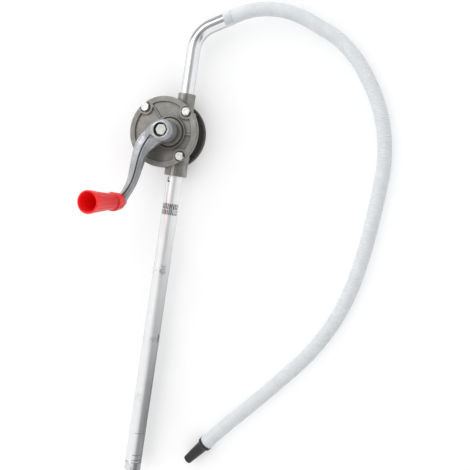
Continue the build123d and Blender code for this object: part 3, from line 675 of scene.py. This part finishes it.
def strip(a0, a1, soft):
    """1 between two angles round the port axis."""
    return m.math("MULTIPLY", m.range(turn, math.radians(a0 - soft), math.radians(a0 + soft)),
                  m.range(turn, math.radians(a1 + soft), math.radians(a1 - soft)))


# the sockets' skins: painted dark reflection bands and painted shade lines, and on the lower socket a painted
# highlight along its bead
lower = m.math("MULTIPLY", on_port, m.math("LESS_THAN", o["Y"], 0.0))
upper = m.math("MULTIPLY", on_port, m.math("GREATER_THAN", o["Y"], 0.0))
socket_shade = m.math("MAXIMUM",
               m.math("MULTIPLY", lower, m.math("MAXIMUM", strip(13, 57, 5),
                                                m.math("MULTIPLY", strip(-10, -5, 2.5), 0.8))),
               m.math("MULTIPLY", upper, m.math("MULTIPLY", strip(-10, 28, 5), 0.8)))
c = m.mix(m.math("MULTIPLY", socket_shade, 0.50), c, (0.080, 0.076, 0.070))
# painted highlight along the lower socket's bead
c = m.mix(m.math("MULTIPLY", m.math("MULTIPLY", lower, strip(-1, 9, 3)), 0.7), c, (0.62, 0.61, 0.59))
m.color(m.mix(drum, c, (0.045, 0.043, 0.040)))
M_BODY = m.m
m, c = cast_metal("silver painted casting", (0.255, 0.263, 0.275), (0.330, 0.339, 0.352),
                  (0.49, 0.50, 0.515), 0.68, 0.33, 0.42, 500, 0.00010, 0.7, grime_and_shade=0.75, reach=0.006)
o = m.xyz()
hx = m.math("SUBTRACT", o["X"], SHAFT.x)
hub_r = m.math("SQRT", m.math("ADD", m.math("MULTIPLY", hx, hx), m.math("MULTIPLY", o["Y"], o["Y"])))
# painted shadow: near-black down inside the bolt's recess
recess_shadow = m.math("MULTIPLY", m.math("LESS_THAN", hub_r, 0.0160), m.range(o["Z"], 0.1047, 0.1038))
m.color(m.mix(m.math("MULTIPLY", recess_shadow, 0.93), c, (0.010, 0.010, 0.011)))
M_CRANK = m.m
m, c = cast_metal("black paint", (0.036, 0.034, 0.032), (0.046, 0.044, 0.041),
                  (0.075, 0.072, 0.068), 0.0, 0.48, 0.62, 800, 0.00012, 0.35, grime_and_shade=0.3)
m.color(c)
M_BLACK = m.m


def plated(name, tone, rough_lo, rough_hi, along, metallic=1.0, streak=0.10):
    """Bright metal with drawn streaks along one axis and faint cloudiness."""
    m = Mat(name)
    m.set(Metallic=metallic)
    sc = [260, 260, 260]
    sc[along] = 9
    lines = m.noise(1.0, 4, 0.6, m.mapped(tuple(sc)))
    cloud = m.noise(45, 3, 0.6)
    v = m.math("ADD", m.math("MULTIPLY", lines, 0.6), m.math("MULTIPLY", cloud, 0.4))
    c = m.ramp(v, [(0.35, tuple(t * (1 - streak) for t in tone)), (0.62, tone)])
    m.color(c)
    m.rough(m.range(v, 0.3, 0.7, rough_lo, rough_hi))
    m.bump(lines, 0.00006, 0.35)
    return m, c


m, c = plated("bright plated pipe", (0.86, 0.87, 0.88), 0.15, 0.26, 1, streak=0.06)
# painted reflections: the plating is painted greyer along both flanks as seen from the front right, with
# painted dark reflection bands over the back of the bend
o = m.xyz()
bx = m.math("SUBTRACT", o["X"], 0.082)
by = m.math("SUBTRACT", o["Y"], 0.165)
radial = m.math("SQRT", m.math("ADD", m.math("MULTIPLY", bx, bx), m.math("MULTIPLY", by, by)))
tail = m.math("ADD", m.math("MULTIPLY", bx, -math.cos(BEND)), m.math("MULTIPLY", by, math.sin(BEND)))
ahead = m.math("ADD", m.math("MULTIPLY", bx, math.sin(BEND)), m.math("MULTIPLY", by, math.cos(BEND)))
past = m.math("GREATER_THAN", ahead, 0.0)
before = m.math("LESS_THAN", by, 0.0)
reach_out = m.math("ADD", m.math("MULTIPLY", past, tail),
                   m.math("MULTIPLY", m.math("SUBTRACT", 1.0, past), radial))
reach_out = m.math("ADD", m.math("MULTIPLY", before, m.math("MULTIPLY", bx, -1.0)),
                   m.math("MULTIPLY", m.math("SUBTRACT", 1.0, before), reach_out))
out = m.math("DIVIDE", m.math("SUBTRACT", reach_out, 0.055), 0.013)
up = m.math("DIVIDE", m.math("SUBTRACT", o["Z"], PORT[1]), 0.013)
u = m.math("SUBTRACT", m.math("MULTIPLY", out, -0.927), m.math("MULTIPLY", up, 0.375))
bent = m.range(by, 0.008, 0.024)
flank_reflection = m.math("MAXIMUM", m.range(u, -0.90, -0.96), m.range(u, 0.88, 0.95))
c = m.mix(m.math("MULTIPLY", flank_reflection, 0.6), c, (0.30, 0.31, 0.32))
c = m.mix(m.math("MULTIPLY", bent, m.math("MULTIPLY", m.range(u, 0.02, -0.12), 0.82)), c, (0.25, 0.257, 0.262))
# painted dark reflection line down the middle of the bend
line = m.math("MULTIPLY", m.range(u, -0.16, -0.04), m.range(u, 0.14, 0.02))
c = m.mix(m.math("MULTIPLY", bent, m.math("MULTIPLY", line, 0.75)), c, (0.16, 0.165, 0.17))
c = m.mix(m.math("MULTIPLY", bent, m.math("MULTIPLY", m.range(u, 0.70, 0.90), 0.6)), c, (0.20, 0.205, 0.21))
m.color(c)
M_CHROME = m.m
m, _ = plated("zinc plated fastener", (0.69, 0.69, 0.68), 0.24, 0.36, 2, streak=0.3)
M_ZINC = m.m
m, _ = plated("dulled zinc fastener", (0.52, 0.53, 0.50), 0.26, 0.40, 2, streak=0.2)
M_ZINC_DULL = m.m
m, _ = plated("ground steel", (0.56, 0.565, 0.57), 0.22, 0.36, 2, streak=0.2)
M_STEEL = m.m

# suction tube: drawn, zinc plated, with plain printed gauge marks in bands
m, _ = plated("drawn inner tube", (0.80, 0.805, 0.81), 0.28, 0.40, 1, streak=0.12)
M_INNER = m.m
m, c = plated("pressed tube foot", (0.80, 0.805, 0.81), 0.28, 0.40, 1, streak=0.12)
o = m.xyz()
# painted shade: the foot's right side is darkened
fa = m.math("ARCTAN2", m.math("SUBTRACT", o["X"], PORT[0]), m.math("SUBTRACT", o["Z"], PORT[1]))
m.color(m.mix(m.math("MULTIPLY", m.range(fa, 0.38, 0.60), 0.72), c, (0.13, 0.135, 0.145)))
M_FOOT = m.m
m, base = plated("galvanised tube", (0.88, 0.885, 0.89), 0.30, 0.42, 1, streak=0.08)
o = m.xyz()
dx = m.math("SUBTRACT", o["X"], PORT[0])
dz = m.math("SUBTRACT", o["Z"], PORT[1])
ang = m.math("ARCTAN2", dx, dz)


def patch(y0, y1, a0, a1, amount, soft=0.0015, grain=None, lo=0.42, hi=0.55):
    """A mark between two heights and two angles round the tube, broken up by grain."""
    f = m.math("MULTIPLY", m.range(o["Y"], y0 - soft, y0 + soft), m.range(o["Y"], y1 + soft, y1 - soft))
    f = m.math("MULTIPLY", f, m.math("MULTIPLY", m.range(ang, a0 - 0.05, a0 + 0.05),
                                     m.range(ang, a1 + 0.05, a1 - 0.05)))
    if grain:
        f = m.math("MULTIPLY", f, m.range(m.noise(grain, 3, 0.6), lo, hi))
    return m.math("MULTIPLY", f, amount)


def overlay(*parts):
    f = parts[0]
    for p in parts[1:]:
        f = m.math("MAXIMUM", f, p)
    return f


# two rows of plain block marks, then faint rubbed ones further down, and painted shade in the two rolled
# grooves near the foot
bars = m.math("GREATER_THAN", m.math("SINE", m.math("MULTIPLY", ang, 27.0)), -0.72)
rows = overlay(patch(-0.1462, -0.1352, -1.05, 1.45, 0.95, 0.0003, 330, 0.36, 0.46),
               patch(-0.1572, -0.1474, -1.05, 1.45, 0.90, 0.0003, 330, 0.38, 0.47),
               patch(-0.1570, -0.1360, 0.10, 0.75, 0.75, 0.0006, 240, 0.38, 0.50))
rows = m.math("MULTIPLY", rows, bars)
faint_marks_and_groove_shade = overlay(patch(-0.2760, -0.2560, 0.15, 0.95, 0.42, 0.004, 150),
                patch(-0.2765, -0.2560, -1.10, -0.75, 0.50, 0.004, 200),
                patch(-0.2690, -0.2678, -0.80, 0.20, 0.45, 0.0004, 300),
                patch(-0.4090, -0.3930, -1.10, -0.70, 0.45, 0.003, 180),
                patch(-0.4080, -0.3990, 0.10, 1.10, 0.28, 0.002, 200),
                patch(-0.4090, -0.3940, 1.20, 1.55, 0.85, 0.002),
                patch(-0.5290, -0.5150, -0.80, 0.30, 0.16, 0.003, 160),
                patch(-0.5947, -0.5935, 0.05, 1.70, 0.60, 0.0004),
                # painted shade in the two rolled grooves
                patch(-0.6394, -0.6376, 0.10, 1.80, 0.60, 0.0005),
                patch(-0.6494, -0.6476, 0.10, 1.80, 0.50, 0.0005))
c = m.mix(overlay(rows, faint_marks_and_groove_shade), base, (0.075, 0.075, 0.09))
# painted shade: the zinc is darkened down the tube's right side and along its left flank, and the bore is
# painted near-black as shade
side_shade = m.math("MULTIPLY", m.range(ang, 0.38, 0.62), m.range(o["Y"], -0.13, -0.50))
side_shade = m.math("MULTIPLY", side_shade, m.range(ang, 0.60, 1.55, 0.55, 0.93))
c = m.mix(side_shade, c, (0.150, 0.160, 0.170))
# painted shade along the tube's left flank
c = m.mix(m.math("MULTIPLY", m.range(ang, -0.72, -1.02), 0.45), c, (0.42, 0.43, 0.44))
bore = m.math("SQRT", m.math("ADD", m.math("MULTIPLY", dx, dx), m.math("MULTIPLY", dz, dz)))
c = m.mix(m.math("LESS_THAN", bore, 0.0152), c, (0.012, 0.012, 0.013))
m.color(c)
M_TUBE = m.m


def simple(name, dark, light, rough_lo, rough_hi, scale, depth, metallic=0.0):
    m = Mat(name)
    m.set(Metallic=metallic)
    n = m.noise(scale, 4, 0.6)
    m.color(m.ramp(n, [(0.35, dark), (0.65, light)]))
    m.rough(m.range(m.noise(scale * 0.3, 2), 0.3, 0.7, rough_lo, rough_hi))
    m.bump(n, depth, 0.5)
    return m


M_GASKET = simple("gasket sheet", (0.02, 0.019, 0.018), (0.05, 0.047, 0.044), 0.7, 0.9, 900, 0.0001).m
M_RUBBER = simple("seal rubber", (0.015, 0.015, 0.016), (0.035, 0.035, 0.036), 0.5, 0.65, 700, 0.00008).m
M_BRONZE = simple("sintered bronze", (0.36, 0.22, 0.10), (0.55, 0.36, 0.18), 0.35, 0.5, 1500, 0.00006, 1.0).m
M_IRON = simple("machined iron", (0.12, 0.12, 0.12), (0.22, 0.22, 0.22), 0.35, 0.5, 600, 0.00008, 0.9).m
M_PHENOL = simple("filled phenolic", (0.12, 0.07, 0.035), (0.26, 0.16, 0.09), 0.5, 0.65, 400, 0.00006).m

m = simple("red moulded plastic", (0.74, 0.010, 0.012), (0.86, 0.024, 0.024), 0.32, 0.44, 300, 0.00005)
m.bsdf.inputs["Specular IOR Level"].default_value = 0.35
m.bsdf.inputs["Subsurface Weight"].default_value = 0.7
m.bsdf.inputs["Subsurface Radius"].default_value = (0.016, 0.0012, 0.001)
m.bsdf.inputs["Subsurface Scale"].default_value = 1.0
at = m.new("ShaderNodeVectorMath", operation="SUBTRACT")
m.link(m.co.outputs["Object"], at.inputs[0])
at.inputs[1].default_value = GRIP_AT
along = m.new("ShaderNodeVectorMath", operation="DOT_PRODUCT")
m.link(at.outputs[0], along.inputs[0])
along.inputs[1].default_value = PIN_DIR
along = along.outputs["Value"]
# painted shade: a dark line in the grip's crease, and a second painted shade line a little further along where
# no crease is cut
crease_shade = m.math("MULTIPLY", m.range(along, 0.0246, 0.0254), m.range(along, 0.0284, 0.0274))
old = m.bsdf.inputs["Base Color"].links[0].from_socket
c = m.mix(m.math("MULTIPLY", crease_shade, 0.28), old, (0.20, 0.012, 0.010))
shifted_crease_shade = m.math("MULTIPLY", m.range(along, 0.0300, 0.0312), m.range(along, 0.0346, 0.0334))
c = m.mix(m.math("MULTIPLY", shifted_crease_shade, 0.35), c, (0.22, 0.05, 0.035))
# painted shade: the collar is darker on its lower side
rel = m.new("ShaderNodeSeparateXYZ")
m.link(at.outputs[0], rel.inputs[0])
under_shade = m.math("MULTIPLY", m.range(rel.outputs["Y"], 0.001, -0.015), m.range(along, 0.0245, 0.0200))
m.color(m.mix(m.math("MULTIPLY", under_shade, 0.6), c, (0.30, 0.008, 0.012)))
M_RED = m.m
m = simple("black moulded plastic", (0.007, 0.007, 0.0075), (0.014, 0.014, 0.015), 0.34, 0.48, 500, 0.00006)
M_NOZZLE = m.m

m = simple("milky hose plastic", (0.78, 0.815, 0.845), (0.85, 0.88, 0.905), 0.32, 0.44, 60, 0.00003)
m.bsdf.inputs["Subsurface Weight"].default_value = 0.35
m.bsdf.inputs["Subsurface Radius"].default_value = (0.003, 0.0033, 0.0036)
m.bsdf.inputs["Subsurface Scale"].default_value = 1.0
m.bsdf.inputs["Transmission Weight"].default_value = 0.25
m.bsdf.inputs["IOR"].default_value = 1.42
M_HOSE = m.m
m = simple("clear sleeve plastic", (0.60, 0.635, 0.665), (0.66, 0.69, 0.72), 0.30, 0.40, 120, 0.00003)
m.bsdf.inputs["Transmission Weight"].default_value = 0.2
m.bsdf.inputs["IOR"].default_value = 1.42
M_SLEEVE = m.m

LOOK = {"black_paint": M_BLACK, "cast_aluminium": M_CAST, "gasket": M_GASKET,
        "zinc_fastener": M_ZINC, "bronze": M_BRONZE, "seal_rubber": M_RUBBER,
        "shaft_steel": M_STEEL, "rotor_iron": M_IRON, "vane_plastic": M_PHENOL,
        "spring_steel": M_STEEL, "crank_paint": M_CRANK, "grip_red": M_RED,
        "chromed_pipe": M_CHROME, "galvanised_tube": M_TUBE, "hose_clear": M_HOSE,
        "nozzle_black": M_NOZZLE}
SLOT_OF = {s["node"]: s["material_slot"] for s in frame["record"]["subparts"]}


def paint(ob, material):
    ob.data.materials.clear() if "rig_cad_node" not in ob else None
    if ob.data.materials:
        for i in range(len(ob.data.materials)):
            ob.material_slots[i].material = material
    else:
        ob.data.materials.append(material)


for n, ob in NODES.items():
    if n in SLOT_OF:
        paint(ob, LOOK[SLOT_OF[n]])
for ob in (hose, cuff, nozzle, pipe, grip, cover, body, rear, arm, hub_bolt, *bolts):
    paint(ob, LOOK[ob["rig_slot"]])
paint(body, M_BODY)
paint(hub_bolt, M_ZINC_DULL)
paint(NODES["telescopic_tube"], M_INNER)
paint(NODES["suction_foot"], M_FOOT)
paint(cuff, M_SLEEVE)

# ------------------------------------------------------------ floor and light
bpy.ops.mesh.primitive_plane_add(size=12, location=(0, 0, -0.0006))
floor = bpy.context.object
floor.name = "floor"
m = simple("pale floor", (0.93, 0.93, 0.93), (0.95, 0.95, 0.95), 0.8, 0.9, 6, 0.0001)
m.bsdf.inputs["Specular IOR Level"].default_value = 0.1
floor.data.materials.append(m.m)

world = bpy.data.worlds.new("studio")
bpy.context.scene.world = world
world.use_nodes = True
t = world.node_tree
bg = t.nodes["Background"]
tc = t.nodes.new("ShaderNodeTexCoord")


def card(direction, inner, outer):
    """1 inside a round dark card seen in that direction, 0 outside it."""
    d = Vector(direction).normalized()
    dot = t.nodes.new("ShaderNodeVectorMath")
    dot.operation = "DOT_PRODUCT"
    nrm = t.nodes.new("ShaderNodeVectorMath")
    nrm.operation = "NORMALIZE"
    t.links.new(tc.outputs["Generated"], nrm.inputs[0])
    t.links.new(nrm.outputs[0], dot.inputs[0])
    dot.inputs[1].default_value = d
    r = t.nodes.new("ShaderNodeMapRange")
    r.inputs["From Min"].default_value = math.cos(math.radians(outer))
    r.inputs["From Max"].default_value = math.cos(math.radians(inner))
    t.links.new(dot.outputs["Value"], r.inputs["Value"])
    return r.outputs["Result"]


def combine(a, b, op="MAXIMUM"):
    n = t.nodes.new("ShaderNodeMath")
    n.operation = op
    for s, v in ((n.inputs[0], a), (n.inputs[1], b)):
        if isinstance(v, (int, float)):
            s.default_value = v
        else:
            t.links.new(v, s)
    return n.outputs[0]


sep = t.nodes.new("ShaderNodeSeparateXYZ")
nrm = t.nodes.new("ShaderNodeVectorMath")
nrm.operation = "NORMALIZE"
t.links.new(tc.outputs["Generated"], nrm.inputs[0])
t.links.new(nrm.outputs[0], sep.inputs[0])


def fall(value, a, b, top=1.0):
    r = t.nodes.new("ShaderNodeMapRange")
    r.inputs["From Min"].default_value = a
    r.inputs["From Max"].default_value = b
    r.inputs["To Max"].default_value = top
    t.links.new(value, r.inputs["Value"])
    return r.outputs["Result"]


# a grey wall low on the right, darker towards the tube's foot, and two gaps
# between the soft boxes overhead
wall = combine(fall(sep.outputs["X"], 0.30, 0.52), fall(sep.outputs["Y"], -0.17, -0.44, 0.85), "MULTIPLY")
wall = combine(wall, fall(sep.outputs["Y"], -0.60, -0.48), "MULTIPLY")
dark = combine(wall, combine(card((0.37, 0.13, 0.92), 14, 30), 0.62, "MULTIPLY"))
mix = t.nodes.new("ShaderNodeMix")
mix.data_type = "RGBA"
t.links.new(dark, mix.inputs[0])
mix.inputs[6].default_value = (1.0, 1.0, 1.0, 1)
mix.inputs[7].default_value = (0.06, 0.065, 0.07, 1)
# the walls are only seen in the metal: behind the floor's edge the room is plain
ray = t.nodes.new("ShaderNodeLightPath")
room = t.nodes.new("ShaderNodeMix")
room.data_type = "RGBA"
t.links.new(ray.outputs["Is Camera Ray"], room.inputs[0])
t.links.new(mix.outputs[2], room.inputs[6])
room.inputs[7].default_value = (1.0, 1.0, 1.0, 1)
t.links.new(room.outputs[2], bg.inputs["Color"])
bg.inputs["Strength"].default_value = 1.0


def area(name, loc, target, size, power, color=(1, 1, 1)):
    ld = bpy.data.lights.new(name, "AREA")
    ld.shape = "RECTANGLE"
    ld.size, ld.size_y = size
    ld.energy = power
    ld.color = color
    ob = bpy.data.objects.new(name, ld)
    bpy.context.scene.collection.objects.link(ob)
    ob.location = loc
    ob.rotation_euler = (Vector(target) - Vector(loc)).to_track_quat("-Z", "Y").to_euler()
    return ob


key = area("key", (-1.3, 0.9, 1.7), (0.05, -0.05, 0.05), (1.2, 1.2), 20)
fill = area("fill", (0.9, 1.3, 1.5), (0.1, 0.0, 0.05), (1.2, 1.2), 4)
# the soft boxes are flagged off the floor, which has an even wash of its own
off_floor = bpy.data.collections.new("flagged")
off_floor.objects.link(floor)
off_floor.collection_objects[0].light_linking.link_state = "EXCLUDE"
key.light_linking.receiver_collection = off_floor
fill.light_linking.receiver_collection = off_floor
on_floor = bpy.data.collections.new("washed")
on_floor.objects.link(floor)
sun = bpy.data.lights.new("floor_wash", "SUN")
sun.energy = 0.75
sun.use_shadow = False
wash = bpy.data.objects.new("floor_wash", sun)
wash.location = (0, 0, 2)
bpy.context.scene.collection.objects.link(wash)
wash.light_linking.receiver_collection = on_floor

bpy.context.scene.view_settings.view_transform = "Standard"
bpy.context.scene.view_settings.look = "None"

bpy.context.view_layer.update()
import json
